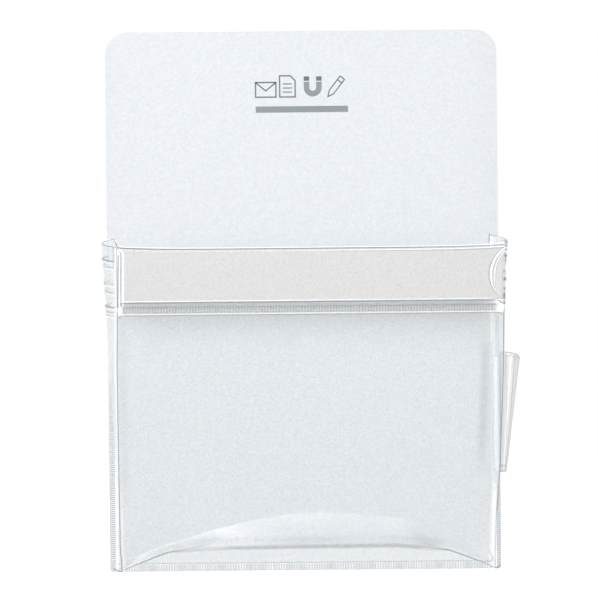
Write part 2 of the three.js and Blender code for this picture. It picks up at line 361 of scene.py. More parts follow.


# Clear soft film. It mirrors more at a glance. Where the piece says that it is milky or shaded, as at
# folds, rims and welds, a white or a grey body shows: milky film and painted highlights in white, and
# painted shade in grey, standing in for how clear film lights up and darkens where it bends.
def filmMaterial(name, look):
    material, tree, output = newMaterial(name)

    def toneAmount(tone, strength, base):
        layer = tree.nodes.new("ShaderNodeAttribute")
        layer.attribute_name = tone
        return mathNode(tree, "ADD", mathNode(tree, "MULTIPLY", layer.outputs["Fac"], strength), base)

    facing = addNode(tree, "ShaderNodeLayerWeight", Blend=0.5)
    steep = mathNode(tree, "POWER", facing.outputs["Facing"], look["steepness"])
    mirror = mathNode(tree, "ADD", mathNode(tree, "MULTIPLY", steep, look["glance"]), look["mirror"])
    clear = addNode(tree, "ShaderNodeBsdfTransparent", Color=look["tint"])
    gloss = addNode(tree, "ShaderNodeBsdfGlossy", Color=(1, 1, 1, 1), Roughness=look["roughness"])
    body = addNode(tree, "ShaderNodeBsdfPrincipled", Base_Color=look["milkAndHighlightColour"], Roughness=0.3)
    glint = addNode(tree, "ShaderNodeBsdfGlossy", Color=(1, 1, 1, 1), Roughness=0.4)
    grey = addNode(tree, "ShaderNodeBsdfPrincipled", Base_Color=look["shadeColour"], Roughness=0.3)
    white = mixShader(tree, look["glint"], body.outputs[0], glint.outputs[0])
    spots = mathNode(tree, "MAXIMUM", mathNode(tree, "SUBTRACT", noiseOn(tree, 950, 3), 0.4), 0.0)
    mottle = mathNode(tree, "MULTIPLY", spots, look["mottle"])
    film = mixShader(tree, mirror, clear.outputs[0], gloss.outputs[0])
    # The white body: milky film and painted highlights, by the piece's values for milky white and highlight.
    film = mixShader(tree, toneAmount("milkAndHighlight", look["milkAndHighlight"], look["haze"]), film, white)
    # The grey body: painted shade at lines, folds, creases, rims and welds, over a faint random mottle.
    film = mixShader(tree, toneAmount("shade", look["shade"], mottle), film, grey.outputs[0])
    if look["ripple"] > 0:
        ripple = reliefFrom(tree, noiseOn(tree, 28, 2), 0.4, look["ripple"])
        tree.links.new(ripple, gloss.inputs["Normal"])
    tree.links.new(film, output.inputs[0])
    return material


# Dark brown magnetic rubber with the fine streaks that rolling leaves.
rubberLook = {
    "dark": (0.035, 0.031, 0.029, 1),
    "pale": (0.07, 0.062, 0.057, 1),
    "scale": 4,
    "detail": 4,
    "stretch": (8, 1, 400),
    "relief": 0.3,
    "depth": 0.0001,
    "roughness": 0.75,
}
# Plain pale card with faint fibres.
paperLook = {
    "dark": (0.812, 0.803, 0.794, 1),
    "pale": (0.908, 0.898, 0.893, 1),
    "scale": 700,
    "detail": 4,
    "relief": 0.25,
    "depth": 0.00004,
    "roughness": 0.85,
}
# Grey printing ink with a slightly uneven cover, darker in its lines than in its filled shapes.
lineLook = {
    "dark": (0.145, 0.165, 0.185, 1),
    "pale": (0.18, 0.20, 0.22, 1),
    "scale": 900,
    "detail": 2,
    "roughness": 0.6,
}
fillLook = dict(lineLook, dark=(0.29, 0.325, 0.355, 1), pale=(0.33, 0.365, 0.395, 1))
# Clear film of the front and the sleeve. The other films differ from it in the values named.
clearLook = {
    "tint": (0.955, 0.960, 0.959, 1),
    "mirror": 0.03,
    "glance": 0.8,
    "steepness": 4,
    "roughness": 0.14,
    # The white body's colour and strength are for milky film and painted highlight, the grey body's for
    # painted shade.
    "milkAndHighlightColour": (0.90, 0.915, 0.93, 1),
    "milkAndHighlight": 0.8,
    "glint": 0.5,
    "haze": 0.01,
    "mottle": 0.19,
    "shadeColour": (0.27, 0.30, 0.335, 1),
    "shade": 0.62,
    "ripple": 0.0006,
}
plainLook = dict(clearLook, tint=(0.994, 0.997, 0.997, 1), haze=0.1, mottle=0)
sideLook = dict(plainLook, glint=0.85, glance=0.35, steepness=3, milkAndHighlightColour=(0.90, 0.91, 0.95, 1))
weldLook = dict(plainLook, roughness=0.2, shade=0.6, ripple=0, shadeColour=(0.285, 0.30, 0.31, 1))
loopLook = dict(sideLook, shadeColour=(0.44, 0.405, 0.41, 1), haze=0.02, glint=0.5)

print("materials")
whitePvc = pvcSheet()
rubber = mattMaterial("magnet_rubber", rubberLook)
clearFilm = filmMaterial("clear_pocket_film", clearLook)
sideFilm = filmMaterial("clear_gusset_film", sideLook)
weldFilm = filmMaterial("pressed_weld_film", weldLook)
loopFilm = filmMaterial("clear_loop_film", loopLook)
paper = mattMaterial("label_card_paper", paperLook)
inkLine = mattMaterial("grey_print_line", lineLook)
inkFill = mattMaterial("grey_print_fill", fillLook)


# Rounded rectangle as one ring of points: straight sides joined by quarter circles, each corner with
# its own radius, drawn in by an inset.
def roundedRing(low, high, radii, inset):
    least = 0.0001
    steps = 12
    left, right = (low[0], 1), (high[0], -1)
    foot, top = (low[2], 1), (high[2], -1)
    rings = []
    for quarter, corner in enumerate(((left, foot), (right, foot), (right, top), (left, top))):
        (x, rightward), (z, upward) = corner
        turn = np.pi + quarter * np.pi / 2 + np.linspace(0, np.pi / 2, steps + 1)
        reach = max(radii[quarter] - inset, least) + least
        held = max(radii[quarter], inset) + least
        centre = np.array([x + rightward * held, z + upward * held])
        rings.append(centre + reach * np.stack([np.cos(turn), np.sin(turn)], axis=-1))
    return np.concatenate(rings)


# A ring drawn in evenly towards a centre, at its own depth.
def ringToward(ring, centre, share):
    return centre + (ring - centre) * np.array([share, 1, share])


# A flat slab with soft edges in a box. Rings of the outline go from the middle of the rear face over
# the rounded edge to the middle of the front face, and close at a point on both sides.
def softSlab(low, high, radii, softness):
    turns = np.linspace(0, np.pi / 2, 4)
    edge = [(softness * (1 - math.sin(turn)), softness * (1 - math.cos(turn))) for turn in turns]
    rings = []
    for face, sign, steps in ((high[1], -1, edge), (low[1], 1, edge[::-1])):
        for inset, depth in steps:
            outline = roundedRing(low, high, radii, inset)
            y = np.full(len(outline), face + sign * depth)
            rings.append(np.stack([outline[:, 0], y, outline[:, 1]], axis=-1))
    centre = np.array([(low[0] + high[0]) / 2, 0, (low[2] + high[2]) / 2])
    shares = np.linspace(1, 0, 6)[1:]
    flatRear = [ringToward(rings[0], centre, share) for share in shares[::-1]]
    flatFront = [ringToward(rings[-1], centre, share) for share in shares]
    grid = np.stack([*flatRear, *rings, *flatFront])
    points = grid.reshape(-1, 3)
    faces = gridFaces(grid.shape[0], grid.shape[1], wrap=True)
    plain = np.zeros(len(points))
    return {"points": points, "faces": facingOut(points, faces), "shade": plain, "milkAndHighlight": plain}


# Merges the points that lie together at a slab's two middles.
def mergeCentres(piece):
    work = bmesh.new()
    work.from_mesh(piece.data)
    bmesh.ops.remove_doubles(work, verts=work.verts, dist=1e-6)
    work.to_mesh(piece.data)
    work.free()
    return piece


# Backing sheet: large radii at the top, small ones at the bottom.
def backingSheet():
    sheet = {"topRadius": 0.0135, "bottomRadius": 0.0025, "softness": 0.0003}
    radii = [sheet["bottomRadius"], sheet["bottomRadius"], sheet["topRadius"], sheet["topRadius"]]
    slab = softSlab(backingLow, backingHigh, radii, sheet["softness"])
    piece = mergeCentres(makePiece("backing_leather_grain_sheet", [slab], [whitePvc]))
    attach(piece, "backing")
    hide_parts("backing_sheet")


# Rubber magnet strips on the rear face, with slightly rounded edges.
def magnetStrips():
    strip = {"radius": 0.002, "softness": 0.00025}
    for level in ("top", "middle", "bottom"):
        low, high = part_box("magnet_strip_" + level)
        slab = softSlab(low, high, [strip["radius"]] * 4, strip["softness"])
        piece = mergeCentres(makePiece("rubber_magnet_" + level, [slab], [rubber]))
        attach(piece, "backing")
        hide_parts("magnet_strip_" + level)


# Side weld band: pressed ribs lie across its outer part, and its inner part is smooth and clear, milky
# white with painted highlight. The ribs' grey, partly the pressed film's own tone and partly painted
# shade in the grooves, has its own strength on each side and fades out upwards, and the lower outer
# corner is round like the backing's.
def sideWeld(side):
    rib = {"pitch": 0.0013, "height": 0.00018, "margin": 0.0004, "base": 0.00022, "corner": 0.0022}
    left = {"name": "left", "ribbed": 0.0038, "grey": 0.36, "fade": (0.108, 0.135)}
    right = {"name": "right", "ribbed": 0.0028, "grey": 0.5, "fade": (0.046, 0.060)}
    band = right if side > 0 else left
    width = pocket["sideWeld"]
    ribbed = band["ribbed"]
    up = np.linspace(0, pocket["weldHeight"], int(pocket["weldHeight"] / rib["pitch"] * 6))[:, None]
    clear = [0, 0.0002, 0.0005, 0.0010, 0.0014, width - ribbed - 0.0003]
    across = np.concatenate([clear, width - np.linspace(ribbed, 0.0004, 8), [width - 0.0002, width]])
    fromEdge = width - across[None, :]
    below = np.clip(rib["corner"] - up, 0, None)
    cut = rib["corner"] - np.sqrt(rib["corner"] ** 2 - below**2)
    pressed = ease(fromEdge, 0.0001, rib["margin"]) * (1 - ease(fromEdge, ribbed - 0.0004, ribbed))
    ribs = 0.5 + 0.5 * np.cos(2 * np.pi * up / rib["pitch"] + 0.6 * np.sin(up * 300))
    x = side * (backingHalf - cut - fromEdge * (width - cut) / width)
    z = backingBottom + up
    front = onBacking(x, rib["base"] + rib["height"] * pressed * ribs, z)
    marked = pressed * (1 - 0.85 * ease(up, *band["fade"]))
    # Painted shade: darkest in the grooves between the ribs and in a line along the ribbed part's inner
    # edge.
    shade = marked * (band["grey"] + 0.5 * (1 - ribs) ** 2 + 0.3 * bump(fromEdge, ribbed, 0.0003))
    # Milky white and painted highlight where the band is not pressed, and a little where its grey has faded.
    milkAndHighlight = 0.28 * (1 - pressed) + 0.12 * (1 - marked)
    sheet = weldedSheet(front, onBacking(x, pocket["weldRear"], z), np.clip(shade, 0, 1), milkAndHighlight)
    piece = makePiece(band["name"] + "_weld_band", [sheet], [weldFilm, whitePvc])
    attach(piece, "backing")
    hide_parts(band["name"] + "_weld_flange")
    asClearFilm(piece)


# Bottom weld band: upright teeth of uneven height, a thin line along its top, and the lines of the
# front film's folded corners.
def bottomWeld():
    band = {
        "pitch": 0.0016,
        "toothHeight": 0.00018,
        "base": 0.00024,
        "levels": [0, 0.0003, 0.0007, 0.0012, 0.0024, 0.0036, 0.0042, 0.0046, 0.005],
        "leftCorner": [(-0.1180, 0.0026), (-0.1160, 0.0011), (-0.1129, 0.0002)],
        "rightCorner": [(0.1157, 0.0003), (0.1180, 0.0010), (0.1198, 0.0026)],
    }
    half = backingHalf - pocket["sideWeld"] + 0.0002
    x = np.linspace(-half, half, int(2 * half / band["pitch"] * 7))[None, :]
    up = np.array(band["levels"])[:, None]
    pressed = ease(up, 0.0002, 0.0009) * (1 - ease(up, 0.0040, 0.0047))
    uneven = 0.6 + 0.4 * np.sin(x * 517) * np.sin(x * 233 + 1)
    teeth = uneven * (0.5 + 0.5 * np.cos(2 * np.pi * x / band["pitch"] + 1.5 * np.sin(x * 97)))
    z = backingBottom + up
    front = onBacking(x, band["base"] + band["toothHeight"] * pressed * teeth, z)
    # Painted shade: a grey over the band, darker between the teeth; painted highlight on the teeth. The line
    # along the top and the corner lines are rods of painted shade.
    shade = 0.22 + 0.28 * pressed * (1 - teeth)
    milkAndHighlight = 0.12 + 0.4 * teeth * pressed
    surfaces = [closedSheet(front, onBacking(x, pocket["weldRear"], z), shade=shade, milkAndHighlight=milkAndHighlight)]
    surfaces.append(rod(onBacking(np.linspace(-half, half, 90), 0.0003, hinge[2]), 0.0002, shade=0.6))
    for corner in (band["leftCorner"], band["rightCorner"]):
        bent = bentLine(corner, 16)
        line = onBacking(bent[:, 0], 0.00052, backingBottom + bent[:, 1])
        surfaces.append(rod(line, 0.00033, shade=1.4))
    piece = makePiece("bottom_weld_band", surfaces, [weldFilm])
    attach(piece, "backing")
    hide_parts("bottom_weld_flange")
    asClearFilm(piece)


# Bakes the piece's place in the world into its points.
def bendWithFront(piece):
    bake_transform(piece)


# A value that keeps its middle size over most of the width and falls to its corner size at the edges.
def acrossFilm(x, middle, corner, sharpness):
    share = np.minimum(1, np.abs(x) / filmHalf)
    return middle + (corner - middle) * share**sharpness


# How far the mouth's edge hangs below the line between its corners.
def mouthSag(x):
    return acrossFilm(x, 0.0014, 0, 6)


# Rise of the film's crease: nearly level in the middle, it dips softly, bends over and then falls in an
# almost straight line to the bottom corners.
def creaseRise(x):
    away = np.abs(x)
    dip = np.where(x < 0, 0.0024, 0.0036) * ease(away, 0.046, 0.092)
    beyond = away - 0.0845
    bent = (beyond + np.hypot(beyond, 0.003)) / 2
    fall = 0.0131 * (bent / (filmHalf - 0.084)) ** 1.08
    return 0.0120 + 0.005 * x - dip - fall


# Rise of the arc over the crease, where the film's swell ends.
def arcRise(x):
    return acrossFilm(x, 0.032, 0.0013, np.where(x < 0, 1.58, 2.8))


# How far the film's side edges bow outwards between its foot and the sleeve.
def edgeBow(side, rise):
    left = 0.0009 * ease(rise, -0.003, 0.012)
    right = 0.0011 * ease(rise, 0.025, 0.065)
    return np.where(side < 0, left, right) * (1 - 0.9 * ease(rise, 0.11, 0.165))


# Swell of the film in front of its plane: full at the crease, none at the arc, with soft waves.
def swellAbove(x, between):
    full = acrossFilm(x, 0.0054, 0.001, 4.5)
    waves = 0.00016 * np.sin(x * 95 + 1.3) + 0.0001 * np.sin(x * 210 + between * 4)
    waves = waves * np.sin(np.pi * np.clip(between, 0, 1)) * np.minimum(1, full / 0.003)
    return full * (1 - between) ** 1.15 + waves


# Rise and swell of the front film at a row share from 0 at its foot to 3 at its mouth: foot to crease,
# crease to arc, and arc to mouth.
def frontShape(x, share):
    crease = creaseRise(x)
    foot = np.minimum(0.0003, crease - 0.0003)
    footSwell = np.maximum(0, -foot) * slope
    arc = arcRise(x)
    below, between, above = (np.clip(share - start, 0, 1) for start in (0, 1, 2))
    rise = foot + (crease - foot) * below + (arc - crease) * between + (filmLength - arc) * above
    atCrease = np.maximum(swellAbove(x, 0), footSwell + 0.0002)
    swell = footSwell + (atCrease - footSwell) * np.sin(below * np.pi / 2) ** 0.8
    swell = np.where(share > 1, np.maximum(swellAbove(x, between), footSwell * (1 - between)), swell)
    rise = rise - mouthSag(x) * ease(rise, filmLength - 0.014, filmLength)
    return rise, swell


# How grey and how white the front film shows: painted shade and painted highlight, for how the film
# darkens and lights up at its bends. Its crease is a soft grey band in the middle and a sharp line with
# pale borders towards the corners, and the rest are weak painted tones on and beside its bends.
def frontTones(x, rise, share):
    fromCrease = rise - creaseRise(x)
    fromEdge = filmHalf - np.abs(x)
    inwards = ease(fromEdge, 0, 0.004)
    nearCorner = ease(np.abs(x), 0.072, 0.087)
    middle = 1 - ease(np.abs(x - 0.0085), 0.052, 0.068)
    toArc = np.clip(share - 1, 0, 1)
    swollen = share > 1
    crease = (0.2 + 0.25 * middle + 0.6 * nearCorner) * bump(fromCrease, 0, 0.0010 - 0.0006 * nearCorner)
    patchy = 0.6 + 0.4 * np.sin(x * 70 + 2.2) * np.sin(x * 31 + 0.5)
    besideRight = bump(x, filmHalf - 0.0105, 0.0026) * ease(rise, 0.05, 0.08)
    # Painted shade: the crease, soft bands under and over it, the swell darkest near the crease, a painted
    # shadow under the sleeve, and darker film beside the right edge and along both edges.
    grey = {
        "crease": crease * ease(fromEdge, 0, 0.002),
        "underCrease": 0.08 * middle * bump(fromCrease, -0.0010, 0.0008),
        "overCrease": 0.16 * patchy * bump(fromCrease, 0.0042, 0.0018) * (1 - nearCorner),
        "swell": 0.17 * (1 - toArc) ** 0.8 * swollen * (1 - nearCorner) * inwards,
        "underSleeve": 0.05 * ease(rise, sleeveLow - 0.016, sleeveLow),
        "besideRight": 0.20 * besideRight * (1 - ease(rise, 0.125, 0.145)),
        "alongEdges": 0.06 * bump(fromEdge, 0.003, 0.003) * ease(rise, 0.03, 0.06),
    }
    # Painted highlight: a pale zone under the arc, pale lines beside the crease towards the corners, a paler
    # foot, and pale places low down by the right edge, in its lower corner and by the left edge.
    white = {
        "underArc": 0.05 * ease(share, 2, 1.93) * toArc**1.5 * inwards * (share < 2),
        "belowCrease": 0.5 * nearCorner * bump(fromCrease, -0.00095, 0.0004),
        "aboveCrease": 0.3 * nearCorner * bump(fromCrease, 0.0010, 0.0005),
        "foot": 0.28 * (1 - ease(fromCrease, -0.0022, -0.0008)) * inwards,
        "rightWedge": 0.6 * bump(fromEdge, 0.0016, 0.0019) * ease(rise, 0.055, 0.04) * (x > 0) * swollen,
        "cornerFlap": 0.15 * bump(fromEdge, 0.0065, 0.006) * bump(rise, 0.005, 0.006) * (x > 0) * swollen,
        "leftEdge": 0.4 * bump(fromEdge, 0.0012, 0.0006) * (1 - ease(rise, 0.03, 0.06)) * (x < 0) * swollen,
    }
    return addUp(grey), addUp(white)


# Dark spots of painted shade along the right edge of the sleeve, where the edge rod also thickens: rise,
# width and strength.
edgeDarkSpots = [
    (0.1920, 0.0008, 1.0),
    (0.1901, 0.0006, 1.0),
    (0.1864, 0.0008, 1.0),
    (0.1836, 0.0019, 0.45),
    (0.1729, 0.0009, 1.0),
    (0.1673, 0.0008, 0.6),
    (0.1625, 0.0026, 0.8),
    (0.1588, 0.0008, 1.0),
]


# The film's folded side edge: a dark line of painted shade up to the sleeve, paler low on the right, and
# on the right a pale line of painted highlight along the sleeve between dark spots.
def edgeLine(side):
    share = np.concatenate([np.linspace(0.02, 2.79, 140), np.linspace(2.795, 3, 180)])
    x = np.full(len(share), side * filmHalf)
    rise, swell = frontShape(x, share)
    line = onFront(x + side * (0.00015 + edgeBow(side, rise)), rise, swell + 0.00005)
    inSleeve = ease(rise, sleeveLow + 0.001, sleeveLow + 0.003)
    darkSpots = sum(amount * bump(rise, centre, width) for centre, width, amount in edgeDarkSpots)
    darkSpots = 1.5 * np.clip(darkSpots, 0, 1) * (side > 0)
    dark = 0.9 - 0.6 * ease(rise, 0.036, 0.026) * (side > 0)
    dark = dark * (1 - 0.85 * inSleeve) + darkSpots * inSleeve
    pale = 0.5 * inSleeve * np.clip(1 - darkSpots, 0, 1) * (side > 0)
    thick = 0.00033 - 0.0001 * inSleeve + 0.0003 * darkSpots * inSleeve
    return rod(line, thick, (side, 0, 0), shade=np.clip(dark, 0, 1.5), milkAndHighlight=pale)


# Fine folds that lie on the swell, drawn as thin rods of painted shade: one turns round the lower right
# corner, and two short ones run beside the crease. Each is a line of places (across, up), thinner at its
# ends.
def foldLines():
    fold = {
        "turned": [(0.1008, 0.0023), (0.1150, -0.0030), (0.1136, 0.0012), (0.1102, 0.0076)],
        "leftShort": [(-0.076, 0.0106), (-0.0555, 0.0148)],
        "rightShort": [(0.068, 0.0132), (0.078, 0.0109)],
        "proud": 0.0004,
    }
    share = np.linspace(0, 1, 50)

    def onSwell(pulls):
        x, up = bentLine(pulls, len(share)).T
        between = (up - creaseRise(x)) / (arcRise(x) - creaseRise(x))
        return onFront(x, up, swellAbove(x, np.clip(between, 0, 1)) + fold["proud"])

    turnedRadius = 0.00026 * np.sin(np.pi * (0.1 + 0.8 * share))
    shortRadius = 0.00018 * np.sin(np.pi * (0.05 + 0.9 * share))
    lines = [rod(onSwell(fold["turned"]), turnedRadius, shade=0.6 + 0.4 * share)]
    for name in ("leftShort", "rightShort"):
        lines.append(rod(onSwell(fold[name]), shortRadius, shade=0.35))
    return lines


# Front film: the swelling sheet with faint waves, whose side edges curl back a little.
def frontFilm():
    film = {"columns": 221, "waves": 0.00025, "curl": 0.0004, "rear": 0.0001}
    x = (2 * closerAtEnds(film["columns"], 0.8) - 1)[None, :] * filmHalf
    zones = [np.linspace(0, 1, 26)[:-1], 1 + closerAtEnds(44)[:-1], 2 + closerAtEnds(60)]
    share = np.concatenate(zones)[:, None]
    rise, swell = frontShape(x, share)
    wave = film["waves"] * np.sin(x * 38 + 0.4) * np.sin(rise * 21) * ease(rise, 0.03, 0.08)
    wave = wave * (1 - ease(rise, sleeveLow - 0.02, sleeveLow))
    curl = film["curl"] * ease(np.abs(x), filmHalf - 0.0012, filmHalf)
    bowed = x + np.sign(x) * edgeBow(x, rise) * (np.abs(x) / filmHalf) ** 6
    lift = swell + wave - curl + film["rear"]
    sheet = frontSheet(bowed, rise, lift, pocket["filmThickness"], *frontTones(x, rise, share))
    piece = makePiece("clear_front_film", [sheet, edgeLine(-1), edgeLine(1), *foldLines()], [clearFilm])
    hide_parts("front_film")
    asClearFilm(piece)
    bendWithFront(piece)


# The label sleeve's outer film, over the front.
sleeve = {
    "weld": 0.0049,
    "bend": 0.0025,
    "rootLift": 0.0009,
    "faceLift": 0.00145,
    "topLift": 0.0006,
    "sill": 0.0074,  # under the notch
    "topFold": 0.0012,  # over the notch
    "notchDepth": 0.0096,
    "corner": 0.002,
    "rim": 0.0044,
}
openHeight = filmLength - sleeve["topFold"] - sleeveLow - sleeve["sill"]
notchRadius = ((openHeight / 2) ** 2 + sleeve["notchDepth"] ** 2) / (2 * sleeve["notchDepth"])
notchUp = sleeveLow + sleeve["sill"] + openHeight / 2


# Rise and lift of the sleeve's film: a bend out of its weld, a flat face and a fold over the top. Share
# runs from 0 at the weld to 1 at the top.
def sleeveShape(share):
    low = sleeveLow + sleeve["weld"]
    up = low + (filmLength - low) * share
    out = ease(up, low, low + sleeve["bend"])
    back = ease(up, filmLength - 0.0012, filmLength)
    lift = sleeve["rootLift"] + (sleeve["faceLift"] - sleeve["rootLift"]) * out
    return up, lift + (sleeve["topLift"] - sleeve["faceLift"]) * back


# The notch's edge: a circle's arc that is as deep as the notch halfway up the opening.
def notchEdge(up):
    inside = np.clip(notchRadius**2 - (up - notchUp) ** 2, 0, None)
    return filmHalf + notchRadius - sleeve["notchDepth"] - np.sqrt(inside)


# The sleeve's sheet: a rounded corner at the top left and a round notch at its open right end.
def sleeveSheet():
    share = np.concatenate([np.linspace(0, 0.1, 22)[:-1], 0.1 + 0.9 * closerAtEnds(80, 0.8)])[:, None]
    up, lift = sleeveShape(share)
    rightEnd = np.where(np.abs(up - notchUp) < openHeight / 2, np.minimum(filmHalf, notchEdge(up)), filmHalf)
    over = np.clip(up - (filmLength - sleeve["corner"]), 0, None)
    leftEnd = -filmHalf + sleeve["corner"] - np.sqrt(np.clip(sleeve["corner"] ** 2 - over**2, 0, None))
    x = leftEnd + (rightEnd - leftEnd) * closerAtEnds(190, 0.9)[None, :]
    hanging = up - mouthSag(x) * ease(up, filmLength - 0.014, filmLength)
    fromLow = up - sleeveLow
    fromTop = filmLength - up
    fromEnd = x + filmHalf
    ends = ease(fromEnd, 0.0015, 0.0025) * ease(filmHalf - x, 0.0045, 0.0095)
    bend = ease(fromLow, 0.0049, 0.0052) * (1 - ease(fromLow, 0.0074, 0.0078))
    toRight = ease(x, -0.02, 0.09)
    endFold = 0.0019 + 0.00075 * share - 0.0019 * (np.clip(0.005 - fromTop, 0, None) / 0.004) ** 3
    # Painted shade: a dark line and a grey band at the bend over the weld, a line under the top fold, the
    # line of the left end's fold and the notch's edge.
    grey = {
        "bend": (0.62 * bump(fromLow, 0.0072, 0.00036) + 0.2 * bend) * ends,
        "top": 0.5 * toRight * bump(fromTop, 0.0019, 0.0003),
        "leftEnd": 0.62 * bump(fromEnd, endFold, 0.00022) * (fromLow > 0.005),
        "notch": 0.45 * bump(rightEnd - x, 0.0001, 0.0003) * (fromLow > 0.0078),
    }
    # Painted highlight: pale lines at the bend, a pale strip under the top fold, pale strips either side of
    # the left end's fold and at the bend by the notch.
    white = {
        "bend": (0.7 * bump(fromLow, 0.0081, 0.0003) + 0.22 * bump(fromLow, 0.0062, 0.0006)) * ends,
        "top": (0.15 + 0.5 * toRight) * bump(fromTop, 0.0011, 0.0003),
        "outsideEndFold": 0.8 * bump(fromEnd, endFold - 0.00085, 0.00035),
        "insideEndFold": 0.7 * bump(fromEnd, endFold + 0.0013, 0.0007),
        "rightBend": 0.8 * bump(filmHalf - x, 0.003, 0.003) * bend,
    }
    return frontSheet(x, hanging, lift, pocket["filmThickness"], addUp(grey), addUp(white))


# The notch's welded rim: a crescent beside the arc, with fine lines of painted shade, its edge darker low
# down, and bands of painted highlight along it.
def notchRim():
    up = notchUp + (openHeight / 2 - 0.0004) * np.linspace(-1, 1, 90)[:, None]
    share = np.linspace(0, 1, 40)[None, :]
    width = sleeve["rim"] * (0.2 + 0.8 * ease(up, up[0], up[0] + 0.016))
    x = np.minimum(notchEdge(up) + width * share, filmHalf)
    middle = ease(np.cos((up - notchUp) / openHeight * np.pi), 0.15, 0.8)
    low = ease(notchUp - up, 0, 0.012)
    grey = {
        "edge": (0.7 + 0.3 * low) * bump(share, 0, 0.09),
        "weldLine": 0.75 * middle * bump(share, 0.52, 0.06),
        "rearLine": 0.25 * middle * bump(share, 0.95, 0.06),
    }
    milkAndHighlight = 0.95 * bump(share, 0.26, 0.13) + 0.8 * bump(share, 0.74, 0.1)
    return frontSheet(x, up, 0.00135 + 0.00015 * np.sin(np.pi * share), 0.0002, addUp(grey), milkAndHighlight)


# Label sleeve: its sheet and notch rim, a dark line of painted shade and a pale line of painted highlight
# along the mouth, the fold of its closed left end, and the short dark end of its sill at the right; the
# fold and the sill's end are rods of painted shade.
def labelSleeve():
    topX = np.linspace(-filmHalf + 0.0006, filmHalf, 160)
    topUp = filmLength - mouthSag(topX)
    thinner = ease(topX, 0.04, 0.11)
    dark = rod(onFront(topX, topUp, 0.0009), 0.00036 - 0.0002 * thinner, (0, 0, 1), shade=1 - 0.2 * thinner)
    pale = rod(onFront(topX, topUp + 0.00062, 0.0006), 0.00034, (0, 0, 1), shade=0, milkAndHighlight=1)
    foldUp = np.linspace(sleeveLow + 0.0045, filmLength - 0.0042, 80)
    foldX = -filmHalf + np.linspace(0.0002, 0.0010, 80)
    endFold = rod(onFront(foldX, foldUp, 0.0011), 0.0004, shade=1.4)
    tailX, tailUp = bentLine([(-0.0040, -0.0328), (0, -0.0352)], 14).T
    tail = rod(onFront(filmHalf + tailX, filmLength + tailUp, 0.0018), 0.0003, shade=1.2)
    surfaces = [sleeveSheet(), dark, pale, endFold, notchRim(), tail]
    piece = makePiece("label_sleeve_film", surfaces, [clearFilm])
    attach(piece, "pocket_front")
    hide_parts("label_sleeve")
    asClearFilm(piece)


# The sleeve's weld: a dotted band along its lower edge, a smooth end band at the left, and the line
# under them, which turns down at both ends. The end band is milky white with painted highlight, and the
# line under them is a rod of painted shade.
def sleeveWeld():
    band = {"height": 0.0051, "pitch": 0.0017, "dot": 0.00018, "rear": 0.00045, "front": 0.00075}
    x = np.linspace(-filmHalf, filmHalf, int(2 * filmHalf / band["pitch"] * 7))[None, :]
    up = np.linspace(0, band["height"], 26)[:, None]
    window = ease(up, 0.0003, 0.0009) * (1 - ease(up, band["height"] - 0.0009, band["height"]))
    window = window * ease(filmHalf + x, 0.0015, 0.004) * ease(filmHalf - x, 0.002, 0.006)
    columns = 0.5 + 0.5 * np.cos(2 * np.pi * x / band["pitch"])
    rows = 0.5 + 0.5 * np.cos(2 * np.pi * up / band["pitch"])
    gaps = columns**1.5
    ends = 2 - ease(filmHalf + x, 0.001, 0.004) - ease(filmHalf - x, 0.002, 0.007)
    inside = 1 - np.clip(ends, 0, 1)
    # Painted shade in the gaps between the dots and in a toothed line near the band's top.
    grey = {
        "dots": window * (0.34 + 0.25 * gaps * (1 + rows)),
        "upperLine": (0.3 + 1.3 * gaps) * bump(up, 0.0045, 0.0005) * inside,
    }
    # Painted highlight on the dots, towards the band's ends and in a line near its foot.
    white = {
        "dots": 0.08 * (1 - gaps) * window,
        "ends": 0.75 * ends,
        "lowerLine": 0.5 * bump(up, 0.0005, 0.0003) * inside,
    }
    front = onFront(x, sleeveLow + up, band["front"] + band["dot"] * columns * rows * window)
    back = onFront(x, sleeveLow + up, band["rear"])
    knurl = closedSheet(front, back, shade=addUp(grey, 1.5), milkAndHighlight=addUp(white))
    endUp = np.linspace(sleeveLow + band["height"], filmLength - 0.002, 60)[:, None]
    endX = -filmHalf + np.linspace(0, 0.0018, 7)[None, :]
    hump = 0.0001 * bump(endX, -filmHalf + 0.0009, 0.0004)
    endFront = onFront(endX, endUp, band["front"] + hump)
    endBand = closedSheet(endFront, onFront(endX, endUp, band["rear"]), milkAndHighlight=0.9)
    lowX = np.linspace(-filmHalf + 0.0004, filmHalf - 0.0006, 120)
    dip = 0.0014 * (1 - ease(filmHalf - np.abs(lowX), 0, 0.0028))
    lower = rod(onFront(lowX, sleeveLow - 0.0004 - dip, 0.0006), 0.00026, shade=0.8)
    piece = makePiece("label_sleeve_weld", [knurl, endBand, lower], [weldFilm])
    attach(piece, "pocket_front")
    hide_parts("label_weld_flange")
    asClearFilm(piece)


# Label card: a thin card with soft edges, standing in the sleeve.
def labelCard():
    card = {
        "closedMargin": 0.0042,
        "openMargin": 0.0014,
        "height": 0.0306,
        "foot": 0.0077,
        "rear": 0.0007,
        "thickness": 0.0003,
        "softness": 0.0001,
    }
    left = -filmHalf + card["closedMargin"]
    right = filmHalf - card["openMargin"]
    across = (right - left) * closerAtEnds(60, 0.8)[None, :]
    up = card["height"] * closerAtEnds(24, 0.8)[:, None]
    toSides = np.minimum(across, right - left - across)
    edge = np.minimum(toSides, np.minimum(up, card["height"] - up))
    soft = card["softness"] * (1 - ease(edge, 0, 0.0003))
    x = left + across
    height = sleeveLow + card["foot"] + up
    front = onFront(x, height, card["rear"] + card["thickness"] - soft)
    sheet = closedSheet(front, onFront(x, height, card["rear"] + soft))
    piece = makePiece("plain_label_card", [sheet], [paper])
    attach(piece, "label_card")
    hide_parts("label_card")


